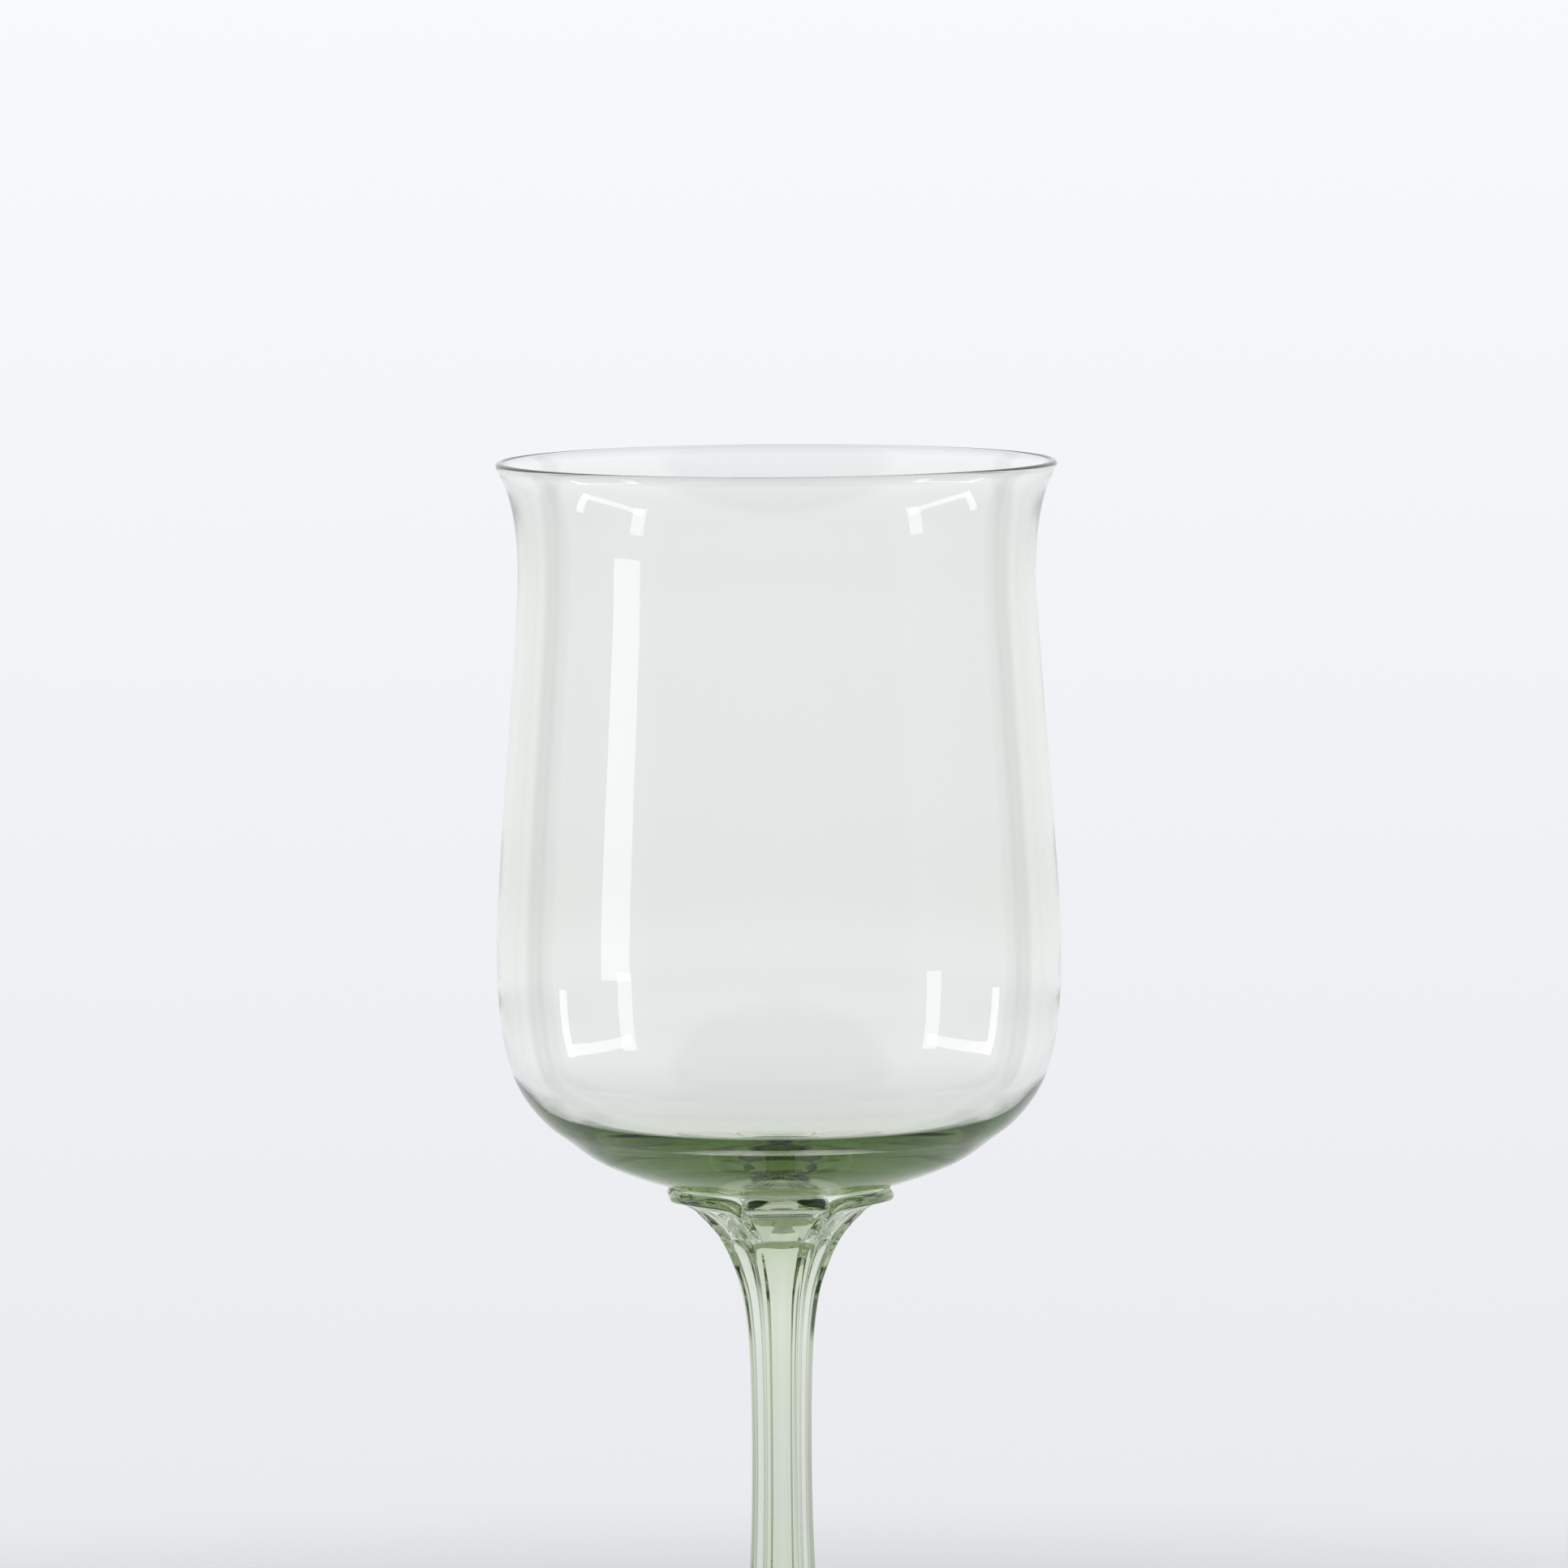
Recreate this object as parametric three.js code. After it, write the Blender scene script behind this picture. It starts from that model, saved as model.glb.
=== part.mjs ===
// Stemmed wine glass: a blown bowl on a fluted stem with a petal calyx, standing on a disc foot.
// Millimetres, +Z up. The origin is the centre of the foot's underside, and the front is -Y.
import * as THREE from 'three';

// Overall sizes
const glassHeight = 190;
const bowlHeight = 104.7;
const rimRadius = 39.8;
const lipNeckRadius = 36.7;
const bellyRadius = 40.05;

// Glass thickness
const rimWall = 1.2;
const sideWall = 1.15;
const bowlFloor = 2.5;

// Joint faces, where one hot piece was pressed on the next
const bowlSeatRadius = 4.4;
const mereseRadius = 6.2;
const mereseWaist = 4.1;
const mereseHeight = 1.8;
const stemSeatRadius = 8.4;
const stemSeatHeight = 10;

// Fluted stem and calyx
const petalCount = 6;
const firstRidge = THREE.MathUtils.degToRad(33);
const stemRadius = 4.26;
const fluteHalfAngle = THREE.MathUtils.degToRad(27.4);
const fluteHollow = 0.147;
const petalTipRadius = 17.2;
const petalTipBelow = 105;
const petalThickness = 1.7;
const petalHollow = 0.3;
const notchReach = 0.45;
const notchSharpness = 4;
const cupReach = 0.45;
const petalStart = 0.74;
const seatFade = 0.14;

// Foot
const footRadius = 38;
const footEdge = 2.4;
const footHollow = 1.2;
const footRingInner = 30;
const footRingOuter = 36.2;

// Mesh fineness
const bowlSides = 56;
const footSides = 56;
const sidesPerPetal = 12;

const bowlBottom = glassHeight - bowlHeight;
const mereseBottom = bowlBottom - mereseHeight;

// The glass is a pale green soda-lime glass, the same batch for every piece.
function glassMaterial(name) {
  const material = new THREE.MeshStandardMaterial({ color: 0xcfdccb, roughness: 0.03, metalness: 0 });
  material.name = name;
  return material;
}

const clearGlass = glassMaterial('pale_green_glass');

// A smooth outline through a few [radius, height] points, at evenly spaced points along it.
function smoothOutline(points, steps) {
  const curve = new THREE.SplineCurve(points.map(([r, z]) => new THREE.Vector2(r, z)));
  return curve.getSpacedPoints(steps);
}

// A part of a circle in an outline, from one angle to another, in degrees.
function arcOutline(centreR, centreZ, radius, from, to, steps) {
  const points = [];
  for (let i = 0; i <= steps; i += 1) {
    const angle = THREE.MathUtils.degToRad(from + ((to - from) * i) / steps);
    points.push(new THREE.Vector2(centreR + radius * Math.cos(angle), centreZ + radius * Math.sin(angle)));
  }
  return points;
}

// Turns an outline of (radius, height) points about Z.
function turned(outline, sides) {
  const geometry = new THREE.LatheGeometry(outline, sides);
  geometry.rotateX(Math.PI / 2);
  return geometry;
}

// Bowl: a straight-sided tulip whose lip flares out, with a round heel and a thick floor.
function bowlOutside() {
  const z = (below) => glassHeight - below;
  return smoothOutline([
    [bowlSeatRadius, z(bowlHeight)],
    [16.3, z(102.9)],
    [26.6, z(98.9)],
    [33.4, z(93.8)],
    [37.0, z(89.1)],
    [39.2, z(82.2)],
    [bellyRadius, z(70.0)],
    [39.1, z(51.1)],
    [37.7, z(32.7)],
    [lipNeckRadius, z(15.5)],
    [37.2, z(8.5)],
    [38.3, z(3.9)],
    [rimRadius, z(rimWall / 2)],
  ], 22);
}

function bowlInside() {
  const z = (below) => glassHeight - below;
  const inner = (radius) => radius - sideWall;
  return smoothOutline([
    [rimRadius - rimWall, z(rimWall / 2)],
    [inner(38.3), z(4.2)],
    [inner(37.2), z(8.8)],
    [inner(lipNeckRadius), z(15.5)],
    [inner(37.7), z(32.7)],
    [inner(39.1), z(51.1)],
    [inner(bellyRadius) - 0.05, z(69.0)],
    [38.8, z(76.5)],
    [37.1, z(86.95)],
    [33.6, z(92.05)],
    [28.0, z(95.55)],
    [18.0, z(99.0)],
    [7.0, z(101.3)],
    [0, z(bowlHeight - bowlFloor)],
  ], 22);
}

function bowlGeometry() {
  const rim = arcOutline(rimRadius - rimWall / 2, glassHeight - rimWall / 2, rimWall / 2, 30, 150, 4);
  const seat = new THREE.Vector2(0, bowlBottom);
  return turned([seat, ...bowlOutside(), ...rim, ...bowlInside()], bowlSides);
}

// Merese: the small waisted button of glass between the calyx and the bowl.
function mereseGeometry() {
  const waist = new THREE.QuadraticBezierCurve(
    new THREE.Vector2(mereseRadius, mereseBottom),
    new THREE.Vector2(mereseWaist, mereseBottom + mereseHeight * 0.4),
    new THREE.Vector2(bowlSeatRadius, bowlBottom),
  );
  const bottom = new THREE.Vector2(0, mereseBottom);
  const top = new THREE.Vector2(0, bowlBottom);
  return turned([bottom, ...waist.getPoints(5), top], bowlSides);
}

// How far round from the middle of its flute a direction is: 0 in the middle, 1 on the ridge.
function acrossFlute(angle) {
  const pitch = (2 * Math.PI) / petalCount;
  const turns = (angle + Math.PI / 2 - firstRidge) / pitch;
  return Math.abs(turns - Math.floor(turns) - 0.5) * 2;
}

// The section's radius as a share of the ridge's: a flat flute, hollowed a little more in its middle.
function fluteSection(across) {
  const angle = (across * Math.PI) / petalCount;
  const hollow = fluteHollow * (1 - (angle / fluteHalfAngle) ** 2);
  return Math.min(1, Math.cos(fluteHalfAngle) / Math.cos(angle) - hollow);
}

// The stem's ridges, from its seat on the foot up to the petal tips.
const ridgeCurve = new THREE.SplineCurve([
  [stemSeatRadius, stemSeatHeight],
  [6.6, 15.5],
  [5.4, 23.5],
  [4.6, glassHeight - 156.7],
  [stemRadius, glassHeight - 139.7],
  [4.62, glassHeight - 125.5],
  [6.0, glassHeight - 116.7],
  [8.2, glassHeight - 111.2],
  [10.2, glassHeight - 108.4],
  [13.2, glassHeight - 106.0],
  [petalTipRadius, glassHeight - petalTipBelow],
].map(([r, height]) => new THREE.Vector2(r, height)));

// How far a petal reaches: 1 in its middle, less where it is cut away from its neighbour.
function petalEnd(across) {
  const cut = 1 - Math.sqrt(Math.max(0, 1 - across ** notchSharpness));
  return 1 - notchReach * cut;
}

// A petal's outer skin, at a reach of 0 where the petals begin and 1 at their tips.
function petalOutside(across, reach) {
  const ridge = ridgeCurve.getPointAt(Math.min(1, petalStart + reach * (1 - petalStart)));
  const fade = 1 - (1 - petalHollow) * reach ** 2;
  return new THREE.Vector2(ridge.x * (1 - fade * (1 - fluteSection(across))), ridge.y);
}

// The inner skin lies one thickness inside the outer one, and stays outside the merese's seat.
function petalInside(across, reach) {
  const nearBy = 0.02;
  const outside = petalOutside(across, reach);
  const along = outside.clone().sub(petalOutside(across, reach - nearBy)).normalize();
  const thickness = petalThickness * (1 + 0.3 * (1 - reach));
  const inside = new THREE.Vector2(-along.y, along.x).multiplyScalar(thickness).add(outside);
  return new THREE.Vector2(Math.max(inside.x, mereseRadius + 0.3), inside.y);
}

// One ring of the stem's surface for each step from the seat, up the flutes, over the petals' ends,
// down into the cup that the petals make, and up to the merese's seat.
function stemGeometry() {
  const sides = petalCount * sidesPerPetal;
  const stemSteps = 20;
  const petalSteps = 12;
  const cupSteps = 8;
  const rings = [];
  const ring = (place) => {
    const points = [];
    for (let i = 0; i < sides; i += 1) {
      const angle = (i / sides) * 2 * Math.PI - Math.PI / 2 + firstRidge;
      points.push([angle, place(acrossFlute(angle))]);
    }
    rings.push(points);
  };
  for (let step = 0; step < stemSteps; step += 1) {
    const share = (petalStart * step) / stemSteps;
    const fade = Math.min(1, share / seatFade);
    const ridge = ridgeCurve.getPointAt(share);
    ring((across) => new THREE.Vector2(ridge.x * (1 - fade * (1 - fluteSection(across))), ridge.y));
  }
  for (let step = 0; step <= petalSteps; step += 1) {
    const opening = step / petalSteps;
    ring((across) => petalOutside(across, opening * petalEnd(across)));
  }
  ring((across) => {
    const outside = petalOutside(across, petalEnd(across));
    const inside = petalInside(across, petalEnd(across));
    const end = inside.clone().sub(outside);
    const out = new THREE.Vector2(end.y, -end.x).multiplyScalar(0.4);
    return outside.add(inside).multiplyScalar(0.5).add(out);
  });
  for (let step = 0; step <= cupSteps; step += 1) {
    const share = step / cupSteps;
    ring((across) => petalInside(across, THREE.MathUtils.lerp(petalEnd(across), cupReach, share)));
  }
  ring(() => new THREE.Vector2(mereseRadius + 0.2, mereseBottom - 0.3));
  ring(() => new THREE.Vector2(mereseRadius, mereseBottom));
  return closedRings(rings, stemSeatHeight, mereseBottom);
}

// Joins rings of (angle, outline point) pairs into one closed surface, with a flat end at each side.
function closedRings(rings, bottomHeight, topHeight) {
  const sides = rings[0].length;
  const positions = [0, 0, bottomHeight];
  for (const points of rings) {
    for (const [angle, place] of points) {
      positions.push(place.x * Math.cos(angle), place.x * Math.sin(angle), place.y);
    }
  }
  positions.push(0, 0, topHeight);
  const last = positions.length / 3 - 1;
  const at = (ring, side) => 1 + ring * sides + (side % sides);
  const index = [];
  for (let side = 0; side < sides; side += 1) {
    index.push(0, at(0, side + 1), at(0, side));
    for (let ring = 0; ring < rings.length - 1; ring += 1) {
      index.push(at(ring, side), at(ring, side + 1), at(ring + 1, side + 1));
      index.push(at(ring, side), at(ring + 1, side + 1), at(ring + 1, side));
    }
    index.push(at(rings.length - 1, side), at(rings.length - 1, side + 1), last);
  }
  const geometry = new THREE.BufferGeometry();
  geometry.setAttribute('position', new THREE.Float32BufferAttribute(positions, 3));
  geometry.setIndex(index);
  geometry.computeVertexNormals();
  return geometry;
}

// Foot: a thin disc that rises to the stem and stands on a flat ring round a shallow hollow.
function footGeometry() {
  const under = [
    new THREE.Vector2(0, footHollow),
    new THREE.Vector2(14, footHollow * 0.85),
    new THREE.Vector2(24, footHollow * 0.4),
    new THREE.Vector2(footRingInner, 0),
    new THREE.Vector2(footRingOuter, 0),
  ];
  const edge = arcOutline(footRadius - footEdge / 2, footEdge / 2, footEdge / 2, -60, 75, 6);
  const over = smoothOutline([
    [34, 2.7],
    [24, 3.6],
    [15, 5.3],
    [10.6, 7.6],
    [stemSeatRadius, stemSeatHeight],
  ], 10);
  return turned([...under, ...edge, ...over, new THREE.Vector2(0, stemSeatHeight)], footSides);
}

function piece(name, geometry) {
  const mesh = new THREE.Mesh(geometry, clearGlass);
  mesh.name = name;
  return mesh;
}

const wineGlass = new THREE.Group();
wineGlass.name = 'wine_glass';
wineGlass.add(piece('bowl', bowlGeometry()));
wineGlass.add(piece('merese', mereseGeometry()));
wineGlass.add(piece('stem', stemGeometry()));
wineGlass.add(piece('foot', footGeometry()));

export default wineGlass;
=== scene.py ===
import math
import bpy
from mathutils import Matrix, Quaternion, Vector


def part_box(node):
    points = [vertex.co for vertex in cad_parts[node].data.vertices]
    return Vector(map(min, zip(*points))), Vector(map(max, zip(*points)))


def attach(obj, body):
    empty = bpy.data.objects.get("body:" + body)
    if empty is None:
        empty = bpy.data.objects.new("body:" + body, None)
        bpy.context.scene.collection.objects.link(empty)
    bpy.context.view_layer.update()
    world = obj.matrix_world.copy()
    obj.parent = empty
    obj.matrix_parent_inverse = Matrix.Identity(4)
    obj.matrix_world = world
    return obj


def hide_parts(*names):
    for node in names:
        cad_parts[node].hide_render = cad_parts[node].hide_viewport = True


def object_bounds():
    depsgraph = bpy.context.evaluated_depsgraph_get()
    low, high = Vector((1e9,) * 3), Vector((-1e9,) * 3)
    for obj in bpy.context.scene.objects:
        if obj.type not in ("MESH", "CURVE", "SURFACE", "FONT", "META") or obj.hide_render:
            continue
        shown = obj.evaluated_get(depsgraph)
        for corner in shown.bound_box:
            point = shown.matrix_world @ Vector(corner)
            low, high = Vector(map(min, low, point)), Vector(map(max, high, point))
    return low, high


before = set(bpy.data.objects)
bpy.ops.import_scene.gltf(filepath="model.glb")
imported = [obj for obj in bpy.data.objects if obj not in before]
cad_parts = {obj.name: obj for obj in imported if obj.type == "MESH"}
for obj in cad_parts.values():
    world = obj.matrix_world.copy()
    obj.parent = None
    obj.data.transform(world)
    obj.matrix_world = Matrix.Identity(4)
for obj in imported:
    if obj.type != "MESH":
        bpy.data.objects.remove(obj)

cadLow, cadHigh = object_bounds()
mm = 0.001
rimTop = cadHigh.z / mm                      # everything hangs from the rim's top
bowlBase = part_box("bowl")[0].z / mm          # flat face where the bowl sits on the merese
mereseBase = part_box("merese")[0].z / mm      # flat face where the merese sits on the stem
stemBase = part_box("stem")[0].z / mm          # flat face where the stem sits on the foot
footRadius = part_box("foot")[1].x / mm
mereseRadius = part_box("merese")[1].x / mm
jointGap = 0.01                              # keeps two fused faces from lying in one plane


# sRGB hex to linear.
def fromHex(code):
    channels = [int(code[i:i + 2], 16) / 255 for i in (1, 3, 5)]
    return tuple(c / 12.92 if c <= 0.04045 else ((c + 0.055) / 1.055) ** 2.4 for c in channels) + (1.0,)


def addNode(tree, kind, settings=None, inputs=None, links=None):
    node = tree.nodes.new(kind)
    for name, value in (settings or {}).items():
        setattr(node, name, value)
    for socket, value in (inputs or {}).items():
        node.inputs[socket].default_value = value
    for socket, source in (links or {}).items():
        tree.links.new(source, node.inputs[socket])
    return node


# Soda-lime glass, tinted green all through by a little iron.
glassLook = {
    "tint": "#DDE6CE",         # a little iron takes red and blue out of white light
    "tintPerMetre": 130.0,     # green where it is thick, nearly clear in the thin wall
    "ior": 1.52,               # soda-lime glass
    "wallWave": 16.0,          # mm, slow swell left by blowing
    "wallWaveHeight": 0.012,   # mm
    "skinGrain": 2.2,          # mm, fire-polished skin of a pressed piece
    "skinGrainHeight": 0.0012,
    "polish": 0.008,           # roughness where hands and water have dulled it most
    "hazePatch": 3.0,          # size of the dulled patches, in grains
    "hazeFrom": 0.45,          # noise value where a patch begins
    "hazeFull": 0.8,
    "footScuff": 0.16,         # roughness of the ring that it stands on
    "scuffHeight": 0.35,       # mm above the table where the scuffs end
}


# The green is in the glass itself, so it deepens with thickness.
def glassVolume(tree, output):
    tint = fromHex(glassLook["tint"])
    volume = addNode(tree, "ShaderNodeVolumeAbsorption",
                     inputs={"Color": tint, "Density": glassLook["tintPerMetre"]})
    tree.links.new(volume.outputs["Volume"], output.inputs["Volume"])


# Clear glass with a skin. The grain's size and height in mm say how the surface was made.
def makeGlass(name, grainSize, grainHeight, scuffed=False):
    material = bpy.data.materials.new(name)
    material.use_nodes = True
    tree = material.node_tree
    tree.nodes.clear()
    output = addNode(tree, "ShaderNodeOutputMaterial")
    place = addNode(tree, "ShaderNodeTexCoord")
    wave = addNode(tree, "ShaderNodeTexNoise",
                   inputs={"Scale": 1 / (grainSize * mm), "Detail": 2.0, "Roughness": 0.4},
                   links={"Vector": place.outputs["Object"]})
    bump = addNode(tree, "ShaderNodeBump",
                   inputs={"Strength": 1.0, "Distance": grainHeight * mm},
                   links={"Height": wave.outputs["Fac"]})
    haze = addNode(tree, "ShaderNodeTexNoise",
                   inputs={"Scale": 1 / (glassLook["hazePatch"] * grainSize * mm),
                           "Detail": 4.0, "Roughness": 0.6},
                   links={"Vector": place.outputs["Object"]})
    dulled = addNode(tree, "ShaderNodeMapRange",
                     inputs={"From Min": glassLook["hazeFrom"], "From Max": glassLook["hazeFull"],
                             "To Min": 0.0, "To Max": glassLook["polish"]},
                     links={"Value": haze.outputs["Fac"]})
    roughness = dulled.outputs["Result"]
    if scuffed:
        split = addNode(tree, "ShaderNodeSeparateXYZ", links={"Vector": place.outputs["Object"]})
        ring = addNode(tree, "ShaderNodeMapRange",
                       inputs={"From Min": 0.0, "From Max": glassLook["scuffHeight"] * mm,
                               "To Min": glassLook["footScuff"], "To Max": 0.0},
                       links={"Value": split.outputs["Z"]})
        both = addNode(tree, "ShaderNodeMath", {"operation": "MAXIMUM"},
                       links={0: ring.outputs["Result"], 1: roughness})
        roughness = both.outputs["Value"]
    glass = addNode(tree, "ShaderNodeBsdfPrincipled",
                    inputs={"Base Color": (1, 1, 1, 1), "Transmission Weight": 1.0,
                            "IOR": glassLook["ior"]},
                    links={"Roughness": roughness, "Normal": bump.outputs["Normal"]})
    tree.links.new(glass.outputs["BSDF"], output.inputs["Surface"])
    glassVolume(tree, output)
    return material


# Blown soda-lime glass: mirror smooth, with a slow swell that bends reflections a little.
blownGlass = makeGlass("blownSodaLimeGlass", glassLook["wallWave"], glassLook["wallWaveHeight"])
# Pressed and fire-polished soda-lime glass: bright, softly rounded edges and a very fine orange peel.
pressedGlass = makeGlass("pressedSodaLimeGlass", glassLook["skinGrain"], glassLook["skinGrainHeight"])
# The same pressed glass, with fine scuffs on the ring that meets the table.
footGlass = makeGlass("scuffedSodaLimeGlass", glassLook["skinGrain"], glassLook["skinGrainHeight"], True)


# Two hot pieces pressed together leave no surface between them, so the joint only carries the tint.
def makeFusedJoint():
    material = bpy.data.materials.new("fusedGlassJoint")
    material.use_nodes = True
    tree = material.node_tree
    tree.nodes.clear()
    output = addNode(tree, "ShaderNodeOutputMaterial")
    clear = addNode(tree, "ShaderNodeBsdfTransparent")
    tree.links.new(clear.outputs["BSDF"], output.inputs["Surface"])
    glassVolume(tree, output)
    return material


fusedJoint = makeFusedJoint()
print("glass materials made")


# Height of a point that lies so far below the rim.
def below(depth):
    return rimTop - depth


# A smooth line through a few (radius, height) points. It returns a function of the share of its length.
def smoothLine(points):
    finePerSpan = 24
    tension = 0.5        # keeps the line from looping where the points are close together
    knots = [Vector(p) for p in points]
    knots = [knots[0] * 2 - knots[1]] + knots + [knots[-1] * 2 - knots[-2]]
    fine = []
    for i in range(1, len(knots) - 2):
        a, b, c, d = knots[i - 1:i + 3]
        tb = (b - a).length ** tension
        tc = tb + (c - b).length ** tension
        td = tc + (d - c).length ** tension
        for k in range(finePerSpan):
            t = tb + (tc - tb) * k / finePerSpan
            ab = a.lerp(b, t / tb)
            bc = b.lerp(c, (t - tb) / (tc - tb))
            cd = c.lerp(d, (t - tc) / (td - tc))
            left = ab.lerp(bc, t / tc)
            right = bc.lerp(cd, (t - tb) / (td - tb))
            fine.append(left.lerp(right, (t - tb) / (tc - tb)))
    fine.append(knots[-2])
    lengths = [0.0]
    for p, q in zip(fine, fine[1:]):
        lengths.append(lengths[-1] + (q - p).length)

    def at(share):
        goal = min(1.0, max(0.0, share)) * lengths[-1]
        low = 0
        high = len(lengths) - 1
        while high - low > 1:
            middle = (low + high) // 2
            if lengths[middle] <= goal:
                low = middle
            else:
                high = middle
        part = (goal - lengths[low]) / (lengths[high] - lengths[low])
        return fine[low].lerp(fine[high], part)

    return at


def stepsAlong(line, count):
    return [line(i / count) for i in range(count + 1)]


# Rings of (angle, radius, height) from bottom to top become one closed surface. Flat faces at the
# joint heights get the fused joint's material, and their borders stay sharp.
def buildPiece(name, rings, glass, jointHeights):
    sameHeight = 1e-7        # m
    sides = len(rings[0])
    points = [(0, 0, rings[0][0][2] * mm)]
    for ring in rings:
        points += [(r * math.cos(a) * mm, r * math.sin(a) * mm, z * mm) for a, r, z in ring]
    points.append((0, 0, rings[-1][0][2] * mm))
    faces = []
    for side in range(sides):
        following = (side + 1) % sides
        faces.append((0, 1 + following, 1 + side))
        for row in range(len(rings) - 1):
            here = 1 + row * sides
            over = here + sides
            faces.append((here + side, here + following, over + following, over + side))
        last = 1 + (len(rings) - 1) * sides
        faces.append((last + side, last + following, len(points) - 1))
    mesh = bpy.data.meshes.new(name)
    mesh.from_pydata(points, [], faces)
    mesh.materials.append(glass)
    mesh.materials.append(fusedJoint)
    for face in mesh.polygons:
        face.use_smooth = True
        heights = [mesh.vertices[v].co.z for v in face.vertices]
        flatAt = [h for h in jointHeights if max(abs(z - h * mm) for z in heights) < sameHeight]
        face.material_index = 1 if flatAt else 0
    around = {}
    for face in mesh.polygons:
        for edge in face.edge_keys:
            around.setdefault(edge, set()).add(face.material_index)
    for edge in mesh.edges:
        edge.use_edge_sharp = len(around[tuple(sorted(edge.vertices))]) > 1
    mesh.update()
    piece = bpy.data.objects.new(name, mesh)
    bpy.context.scene.collection.objects.link(piece)
    return piece


def turnedRings(outline, sides):
    angles = [2 * math.pi * i / sides for i in range(sides)]
    return [[(a, p[0], p[1]) for a in angles] for p in outline]


def finishPiece(piece, node):
    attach(piece, "root")
    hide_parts(node)
    print(node, "made with", len(piece.data.polygons), "faces")


# The bowl: a thin blown tulip with a flared lip and a floor that thickens to the middle.
bowlLook = {
    "outside": [(10.5, 104.1), (16.3, 102.9), (23.1, 100.6), (26.6, 98.9), (30.0, 96.4), (33.4, 93.8),
                (37.0, 89.1), (39.2, 82.2), (40.04, 70.0), (39.1, 51.1), (37.7, 32.7), (36.7, 15.5),
                (37.2, 8.5), (38.3, 3.9)],
    "sideWall": 1.15,
    "wallPoints": 6,        # the last points of the outside, which the inner wall follows
    "wallDrop": 0.3,        # mm that the inner wall's points lie lower than the outer ones
    "rimWall": 1.2,
    "rimRadius": 39.8,
    "rimSteps": 12,
    "seatRadius": 4.4,      # of the flat face on the merese
    "floor": [(38.8, 76.5), (37.1, 86.95), (33.6, 92.05), (30.5, 94.1), (28.0, 95.55), (23.0, 97.3),
              (18.0, 99.0), (13.0, 100.3), (7.0, 101.3), (0.002, 102.2)],
    "sides": 192,
    "steps": 110,
}


def makeBowl():
    look = bowlLook
    half = look["rimWall"] / 2
    rimCentre = look["rimRadius"] - half
    outside = [(look["seatRadius"], bowlBase)]
    outside += [(r, below(d)) for r, d in look["outside"]]
    outside.append((look["rimRadius"], below(half)))
    wall = look["sideWall"]
    inside = [(rimCentre - half, below(half))]
    for r, d in reversed(look["outside"][-look["wallPoints"]:]):
        inside.append((r - wall, below(d + look["wallDrop"])))
    inside += [(r, below(d)) for r, d in look["floor"]]
    rim = []
    for step in range(1, look["rimSteps"]):
        turn = math.pi * step / look["rimSteps"]
        rim.append((rimCentre + half * math.cos(turn), below(half) + half * math.sin(turn)))
    outline = stepsAlong(smoothLine(outside), look["steps"]) + rim
    outline += stepsAlong(smoothLine(inside), look["steps"])
    bowl = buildPiece("blownBowl", turnedRings(outline, look["sides"]), blownGlass, [bowlBase])
    finishPiece(bowl, "bowl")
    return bowl


# The merese: the waisted button between the stem and the bowl.
mereseLook = {
    "waist": 4.1,
    "waistShare": 0.4,    # of its height
    "sides": 96,
    "steps": 16,
}


def makeMerese():
    look = mereseLook
    low = mereseBase + jointGap
    high = bowlBase - jointGap
    foot = Vector((mereseRadius, low))
    waist = Vector((look["waist"], low + look["waistShare"] * (high - low)))
    head = Vector((bowlLook["seatRadius"], high))
    outline = []
    for step in range(look["steps"] + 1):
        share = step / look["steps"]
        outline.append(foot.lerp(waist, share).lerp(waist.lerp(head, share), share))
    merese = buildPiece("merese", turnedRings(outline, look["sides"]), pressedGlass, [low, high])
    finishPiece(merese, "merese")


# The stem: six flutes that open into six petals under the bowl.
stemLook = {
    "petals": 6,
    "turn": 33.0,           # degrees from the front to the first ridge
    "seatRadius": 8.4,
    "ridge": [(6.6, 174.5), (5.4, 166.5), (4.6, 156.7), (4.26, 139.7), (4.62, 125.5), (5.35, 119.4),
              (6.0, 116.7), (7.0, 113.9), (8.2, 111.2), (10.2, 108.4), (13.2, 106.0)],
    "petalTip": (17.2, 105.0),
    "fluteHalf": 27.4,      # degrees from a flute's middle to its edge, of 30 to the ridge
    "fluteHollow": 0.147,   # extra depth of the hollow, as a share of the radius
    "ridgeSoft": 0.05,      # share of the radius over which a ridge is rounded
    "petalStart": 0.74,     # share of the ridge's length where the petals begin
    "petalHollow": 0.3,     # how much of the flute is left at the petal's end
    "petalThickness": 1.7,
    "rootExtra": 0.3,       # how much thicker it is at the root, as a share
    "edgeBulge": 0.4,       # how far its rounded edge stands out, as a share of the thickness
    "notch": 0.45,          # share of the petals' length that is cut between them
    "notchShape": 4.0,      # higher is a blunter petal
    "cupReach": 0.45,       # share of the petals' length where the cup has its bottom
    "cupClear": 0.3,        # mm kept between the petals' inner skin and the merese
    "seatLip": (0.2, 0.3),  # mm out and down from the merese's edge
    "seatFade": 0.14,       # share of the ridge's length where the flutes fade in above the foot
    "sidesPerPetal": 36,
    "stemSteps": 110,
    "petalSteps": 50,
    "cupSteps": 40,
    "edgeSteps": 6,
}


# 0 in the middle of a petal and 1 on the ridges beside it.
def acrossPetal(angle):
    pitch = 2 * math.pi / stemLook["petals"]
    turns = (angle + math.pi / 2 - math.radians(stemLook["turn"])) / pitch
    return abs(turns - math.floor(turns) - 0.5) * 2


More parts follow.
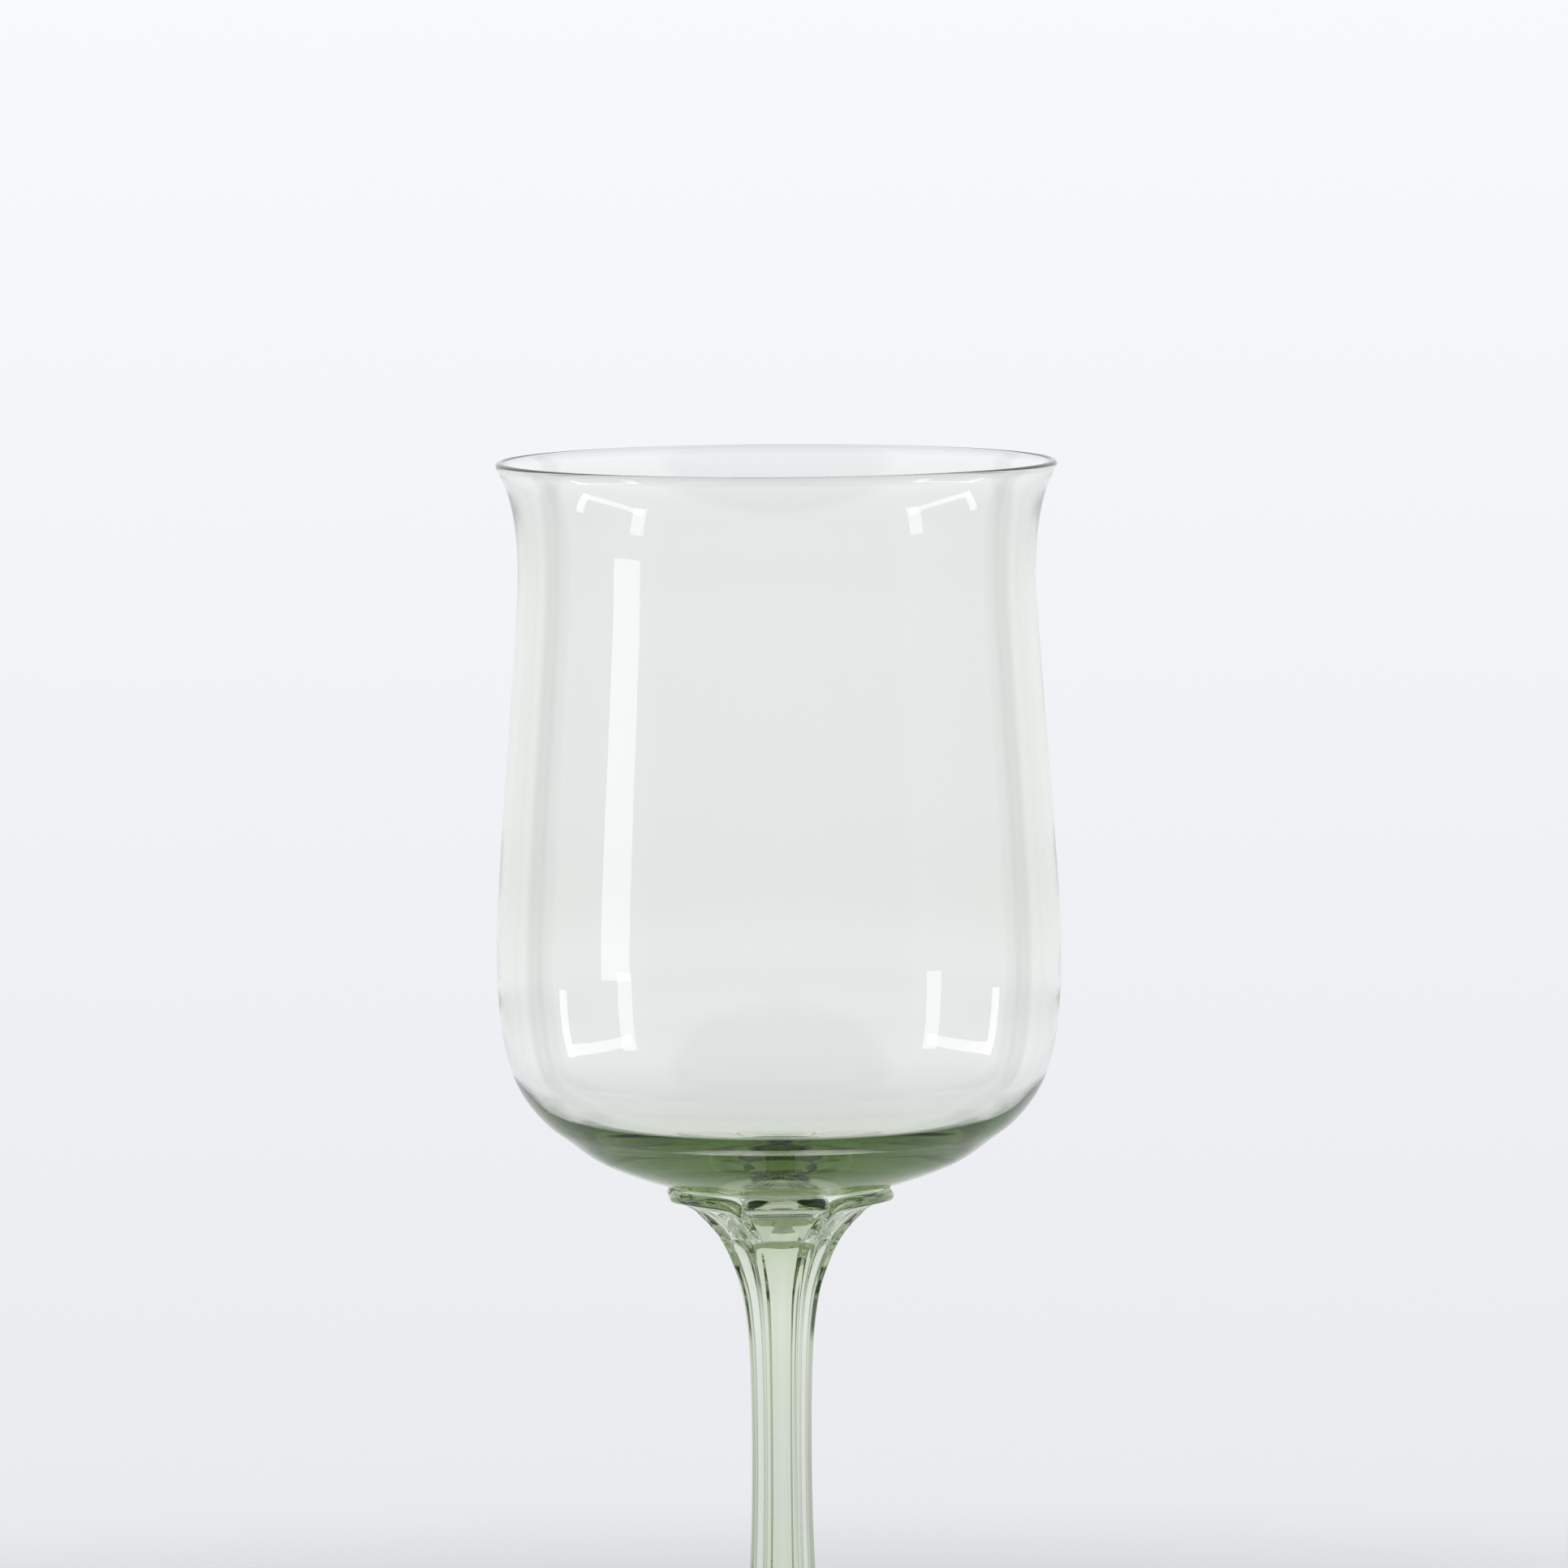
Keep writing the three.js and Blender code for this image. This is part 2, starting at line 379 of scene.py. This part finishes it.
# The section's radius as a share of the ridge's: a flat flute hollowed a little more, with soft ridges.
def fluteSection(across):
    edge = math.radians(stemLook["fluteHalf"])
    angle = across * math.pi / stemLook["petals"]
    hollow = stemLook["fluteHollow"] * (1 - (angle / edge) ** 2)
    flute = math.cos(edge) / math.cos(angle) - hollow
    soft = stemLook["ridgeSoft"]
    near = max(0.0, soft - abs(flute - 1)) / soft
    return min(flute, 1.0) - near * near * soft / 4


# How far a petal reaches: 1 in its middle, and less towards the notches.
def petalEnd(across):
    return 1 - stemLook["notch"] * (1 - math.sqrt(max(0.0, 1 - across ** stemLook["notchShape"])))


# The petal's outer skin at a reach of 0 where the petals begin and 1 at their tips.
def petalOutside(ridge, across, reach):
    look = stemLook
    place = ridge(look["petalStart"] + reach * (1 - look["petalStart"]))
    fade = 1 - (1 - look["petalHollow"]) * reach ** 2
    return Vector((place.x * (1 - fade * (1 - fluteSection(across))), place.y))


def petalTangent(ridge, across, reach):
    stepBack = 0.02
    here = petalOutside(ridge, across, reach)
    return (here - petalOutside(ridge, across, reach - stepBack)).normalized()


def petalInside(ridge, across, reach):
    look = stemLook
    along = petalTangent(ridge, across, reach)
    thickness = look["petalThickness"] * (1 + look["rootExtra"] * (1 - reach))
    place = petalOutside(ridge, across, reach) + Vector((-along.y, along.x)) * thickness
    return Vector((max(place.x, mereseRadius + look["cupClear"]), place.y))


def makeStem():
    look = stemLook
    ridgePoints = [(look["seatRadius"], stemBase)]
    ridgePoints += [(r, below(d)) for r, d in look["ridge"]]
    ridgePoints.append((look["petalTip"][0], below(look["petalTip"][1])))
    ridge = smoothLine(ridgePoints)
    sides = look["petals"] * look["sidesPerPetal"]
    firstRidge = math.radians(look["turn"]) - math.pi / 2
    angles = [firstRidge + 2 * math.pi * i / sides for i in range(sides)]
    rings = []

    def addRing(place):
        ring = []
        for angle in angles:
            point = place(acrossPetal(angle))
            ring.append((angle, point[0], point[1]))
        rings.append(ring)

    for step in range(look["stemSteps"]):
        share = look["petalStart"] * step / look["stemSteps"]
        fade = min(1.0, share / look["seatFade"])
        middle = ridge(share)
        addRing(lambda across: (middle.x * (1 - fade * (1 - fluteSection(across))), middle.y))
    for step in range(look["petalSteps"] + 1):
        opening = step / look["petalSteps"]
        addRing(lambda across: petalOutside(ridge, across, opening * petalEnd(across)))
    for step in range(1, look["edgeSteps"]):
        turn = math.pi * step / look["edgeSteps"]

        def edge(across):
            low = petalOutside(ridge, across, petalEnd(across))
            high = petalInside(ridge, across, petalEnd(across))
            out = petalTangent(ridge, across, petalEnd(across)) * (high - low).length * look["edgeBulge"]
            return (low + high) / 2 + (low - high) / 2 * math.cos(turn) + out * math.sin(turn)

        addRing(edge)
    for step in range(look["cupSteps"] + 1):
        share = step / look["cupSteps"]

        def cup(across):
            end = petalEnd(across)
            return petalInside(ridge, across, end + (look["cupReach"] - end) * share)

        addRing(cup)
    lipOut, lipDown = look["seatLip"]
    addRing(lambda across: (mereseRadius + lipOut, mereseBase - lipDown))
    addRing(lambda across: (mereseRadius, mereseBase))
    stem = buildPiece("flutedStem", rings, pressedGlass, [stemBase, mereseBase])
    finishPiece(stem, "stem")


# The foot: a thin disc that stands on a ring round a shallow hollow.
footLook = {
    "edge": 2.4,
    "edgeFrom": -60.0,     # degrees, where the rounded edge leaves the ring
    "edgeTurn": 135.0,     # degrees
    "edgeSteps": 12,
    "hollow": 1.2,
    "under": [(0.002, 1.0), (14.0, 0.85), (24.0, 0.4), (30.0, 0.0)],    # (radius, share of the hollow)
    "ringOuter": 36.2,
    "over": [(34.0, 2.7), (24.0, 3.6), (15.0, 5.3), (10.6, 7.6)],       # (radius, height)
    "underSteps": 40,
    "overSteps": 60,
    "sides": 192,
}


def makeFoot():
    look = footLook
    top = stemBase - jointGap
    under = [(r, share * look["hollow"]) for r, share in look["under"]]
    outline = stepsAlong(smoothLine(under), look["underSteps"])
    outline.append(Vector((look["ringOuter"], 0.0)))
    half = look["edge"] / 2
    edgeCentre = footRadius - half
    for step in range(look["edgeSteps"] + 1):
        turn = math.radians(look["edgeFrom"] + look["edgeTurn"] * step / look["edgeSteps"])
        outline.append(Vector((edgeCentre + half * math.cos(turn), half + half * math.sin(turn))))
    over = look["over"] + [(stemLook["seatRadius"], top)]
    outline += stepsAlong(smoothLine(over), look["overSteps"])
    foot = buildPiece("pressedFoot", turnedRings(outline, look["sides"]), footGlass, [top])
    finishPiece(foot, "foot")


bowl = makeBowl()
makeMerese()
makeStem()
makeFoot()


cameraLook = {
    "distance": 2070.0,     # mm to the glass's axis
    "lookDown": 4.7,        # degrees
    "viewWidth": 222.3,     # mm seen across at the glass's axis
    "viewHeight": 144.04,   # mm above the table at the middle of the view
    "aside": 0.83,          # mm to the right
    "roll": -0.33,          # degrees
    "sensorWidth": 36.0,    # mm
    "farEnd": 20.0,         # m
}


def makeCamera():
    look = cameraLook
    down = math.radians(look["lookDown"])
    target = Vector((look["aside"], 0, look["viewHeight"])) * mm
    back = Vector((0, -math.cos(down), math.sin(down)))
    data = bpy.data.cameras.new("studioCamera")
    camera = bpy.data.objects.new("studioCamera", data)
    bpy.context.scene.collection.objects.link(camera)
    camera.location = target + back * look["distance"] * mm
    camera.rotation_mode = "QUATERNION"
    roll = Quaternion((0, 0, 1), math.radians(look["roll"]))
    camera.rotation_quaternion = (-back).to_track_quat("-Z", "Y") @ roll
    data.sensor_width = look["sensorWidth"]
    data.lens = data.sensor_width * look["distance"] / look["viewWidth"]
    data.clip_end = look["farEnd"]
    bpy.context.scene.camera = camera


makeCamera()
print("camera placed")


# The studio: a white tent, open at the front, with a lit frame on each side.
studioLook = {
    "paper": "#F7F8FC",
    "brightHigh": 1.02,
    "brightLow": 0.86,       # the tent is dimmer below the table's level
    "dimFrom": -0.02,        # z of the direction where it starts to dim
    "dimTo": -0.15,
    "frontShade": 0.76,      # the open front is darker than the tent
    "frontEdge": 0.5,        # cosine of the half angle of the opening
    "frontSoft": 0.08,
    "sideShade": 0.86,
    "sideFrom": 0.1,         # y of the direction where the sides turn into the bright back
    "sideTo": 0.6,
    "roofShade": 0.2,        # dark patch above the opening, where the room's ceiling shows
    "roofTilt": 50.0,        # degrees above the table
    "roofEdge": 0.8,         # cosine of the half angle of that patch
    "roofSoft": 0.1,
    "flagShade": 0.45,       # grey flags at the back left and right
    "flagMiddle": 0.5,       # cosine of their direction from the back
    "flagHalf": 0.06,        # half their width, in the same cosine
    "flagSoft": 0.12,
    "floorColour": "#F8F9FB",
    "floorClear": 0.12,      # m from the glass where the floor starts to melt into the tent
    "floorGone": 0.34,
    "floorDrop": 0.0001,     # m below the foot
    "frameAside": 0.25,      # m from the glass to the lit frames
    "frameFront": 0.135,
    "frameBack": 0.012,
    "frameHeight": 0.04,
    "frameSill": 0.04,       # m above the table
    "frameWidth": 0.032,     # of the front leg
    "sillShare": 0.5,        # width of the sill, as a share of the front leg's
    "backShare": 0.6,
    "tallAngle": 69.0,       # degrees from the front, to the left
    "tallDistance": 0.9,     # m
    "tallLow": 0.13,
    "tallHigh": 0.19,
    "tallWidth": 0.22,
    "clothPower": 9.0,       # W per square metre of lit cloth
}


# One glow by direction: dimmer below, darker at the open front, with a dark patch over it and two grey flags.
def makeTent():
    look = studioLook
    world = bpy.data.worlds.new("whiteTent")
    bpy.context.scene.world = world
    world.use_nodes = True
    tree = world.node_tree
    tree.nodes.clear()
    output = addNode(tree, "ShaderNodeOutputWorld")
    place = addNode(tree, "ShaderNodeTexCoord")
    split = addNode(tree, "ShaderNodeSeparateXYZ", links={"Vector": place.outputs["Generated"]})
    height = addNode(tree, "ShaderNodeMapRange",
                     inputs={"From Min": look["dimTo"], "From Max": look["dimFrom"],
                             "To Min": look["brightLow"], "To Max": look["brightHigh"]},
                     links={"Value": split.outputs["Z"]})
    front = addNode(tree, "ShaderNodeMapRange", {"interpolation_type": "SMOOTHSTEP"},
                    inputs={"From Min": -look["frontEdge"] - look["frontSoft"],
                            "From Max": -look["frontEdge"],
                            "To Min": look["frontShade"], "To Max": look["sideShade"]},
                    links={"Value": split.outputs["Y"]})
    side = addNode(tree, "ShaderNodeMapRange", {"interpolation_type": "SMOOTHSTEP"},
                   inputs={"From Min": look["sideFrom"], "From Max": look["sideTo"],
                           "To Min": 0.0, "To Max": 1 - look["sideShade"]},
                   links={"Value": split.outputs["Y"]})
    around = addNode(tree, "ShaderNodeMath", {"operation": "ADD"},
                     links={0: front.outputs["Result"], 1: side.outputs["Result"]})
    tilt = math.radians(look["roofTilt"])
    roofAim = addNode(tree, "ShaderNodeVectorMath", {"operation": "DOT_PRODUCT"},
                      inputs={1: (0, -math.cos(tilt), math.sin(tilt))},
                      links={0: place.outputs["Generated"]})
    roof = addNode(tree, "ShaderNodeMapRange", {"interpolation_type": "SMOOTHSTEP"},
                   inputs={"From Min": look["roofEdge"] - look["roofSoft"], "From Max": look["roofEdge"],
                           "To Min": 1.0, "To Max": look["roofShade"]},
                   links={"Value": roofAim.outputs["Value"]})
    offFlag = addNode(tree, "ShaderNodeMath", {"operation": "SUBTRACT"},
                      inputs={1: look["flagMiddle"]}, links={0: split.outputs["Y"]})
    fromFlag = addNode(tree, "ShaderNodeMath", {"operation": "ABSOLUTE"},
                       links={0: offFlag.outputs["Value"]})
    flag = addNode(tree, "ShaderNodeMapRange", {"interpolation_type": "SMOOTHSTEP"},
                   inputs={"From Min": look["flagHalf"], "From Max": look["flagSoft"],
                           "To Min": look["flagShade"], "To Max": 1.0},
                   links={"Value": fromFlag.outputs["Value"]})
    shaded = addNode(tree, "ShaderNodeMath", {"operation": "MULTIPLY"},
                     links={0: roof.outputs["Result"], 1: flag.outputs["Result"]})
    tent = addNode(tree, "ShaderNodeMath", {"operation": "MULTIPLY"},
                   links={0: around.outputs["Value"], 1: shaded.outputs["Value"]})
    bright = addNode(tree, "ShaderNodeMath", {"operation": "MULTIPLY"},
                     links={0: height.outputs["Result"], 1: tent.outputs["Value"]})
    light = addNode(tree, "ShaderNodeBackground",
                    inputs={"Color": fromHex(look["paper"])},
                    links={"Strength": bright.outputs["Value"]})
    tree.links.new(light.outputs["Background"], output.inputs["Surface"])


# Matt white paper that melts into the tent away from the glass.
def makeFloor():
    look = studioLook
    size = 2 * look["floorGone"]      # m from the glass to each side of the sheet
    mesh = bpy.data.meshes.new("studioFloor")
    corners = [(-size, -size, 0), (size, -size, 0), (size, size, 0), (-size, size, 0)]
    mesh.from_pydata(corners, [], [(0, 1, 2, 3)])
    material = bpy.data.materials.new("mattPaper")
    material.use_nodes = True
    tree = material.node_tree
    tree.nodes.clear()
    output = addNode(tree, "ShaderNodeOutputMaterial")
    place = addNode(tree, "ShaderNodeTexCoord")
    away = addNode(tree, "ShaderNodeVectorMath", {"operation": "LENGTH"},
                   links={0: place.outputs["Object"]})
    melt = addNode(tree, "ShaderNodeMapRange", {"interpolation_type": "SMOOTHSTEP"},
                   inputs={"From Min": look["floorClear"], "From Max": look["floorGone"]},
                   links={"Value": away.outputs["Value"]})
    paper = addNode(tree, "ShaderNodeBsdfDiffuse", inputs={"Color": fromHex(look["floorColour"])})
    clear = addNode(tree, "ShaderNodeBsdfTransparent")
    mixed = addNode(tree, "ShaderNodeMixShader",
                    links={0: melt.outputs["Result"], 1: paper.outputs["BSDF"], 2: clear.outputs["BSDF"]})
    tree.links.new(mixed.outputs["Shader"], output.inputs["Surface"])
    mesh.materials.append(material)
    floor = bpy.data.objects.new("studioFloor", mesh)
    floor.location.z = -look["floorDrop"]
    floor.visible_transmission = False    # through the glass the tent shows, not the paper's own shadow
    bpy.context.scene.collection.objects.link(floor)


bowlOnly = bpy.data.collections.new("bowlOnly")      # the lights are flagged off the stem
bowlOnly.objects.link(bowl)


# A flat strip of lit cloth between two points, turned to the bowl.
def litStrip(name, start, end, width):
    data = bpy.data.lights.new(name, "AREA")
    data.shape = "RECTANGLE"
    data.size = width
    data.size_y = (end - start).length + width
    data.energy = studioLook["clothPower"] * data.size * data.size_y
    strip = bpy.data.objects.new(name, data)
    bpy.context.scene.collection.objects.link(strip)
    middle = (start + end) / 2
    along = (end - start).normalized()
    facing = Vector((0, 0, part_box("bowl")[0].z)) - middle
    facing = (facing - along * facing.dot(along)).normalized()
    strip.rotation_mode = "QUATERNION"
    strip.rotation_quaternion = Matrix((along.cross(-facing), along, -facing)).transposed().to_quaternion()
    strip.location = middle
    strip.visible_camera = False
    strip.visible_transmission = False
    strip.light_linking.receiver_collection = bowlOnly


def makeLitFrames():
    look = studioLook
    width = look["frameWidth"]
    for side, word in ((-1, "left"), (1, "right")):
        aside = side * look["frameAside"]
        lowFront = Vector((aside, -look["frameFront"], look["frameSill"]))
        lowBack = Vector((aside, look["frameBack"], look["frameSill"]))
        up = Vector((0, 0, look["frameHeight"]))
        litStrip(word + "FrameSill", lowFront, lowBack, width * look["sillShare"])
        litStrip(word + "FrameFront", lowFront, lowFront + up, width)
        litStrip(word + "FrameBack", lowBack, lowBack + up, width * look["backShare"])


# A tall narrow box of light at the left, seen as one bright stripe down the bowl.
def makeTallLight():
    look = studioLook
    aim = math.radians(look["tallAngle"])
    foot = Vector((-math.sin(aim), -math.cos(aim), 0)) * look["tallDistance"]
    low = foot + Vector((0, 0, look["tallLow"]))
    high = foot + Vector((0, 0, look["tallHigh"]))
    litStrip("tallLight", low, high, look["tallWidth"])


makeTent()
makeFloor()
makeLitFrames()
makeTallLight()
print("studio made")

glassBounces = 64        # light runs a long way along the thick floor of the bowl
jointBounces = 24
scene = bpy.context.scene
scene.view_settings.view_transform = "Standard"
scene.cycles.max_bounces = glassBounces
scene.cycles.transmission_bounces = glassBounces
scene.cycles.glossy_bounces = glassBounces
scene.cycles.transparent_max_bounces = jointBounces
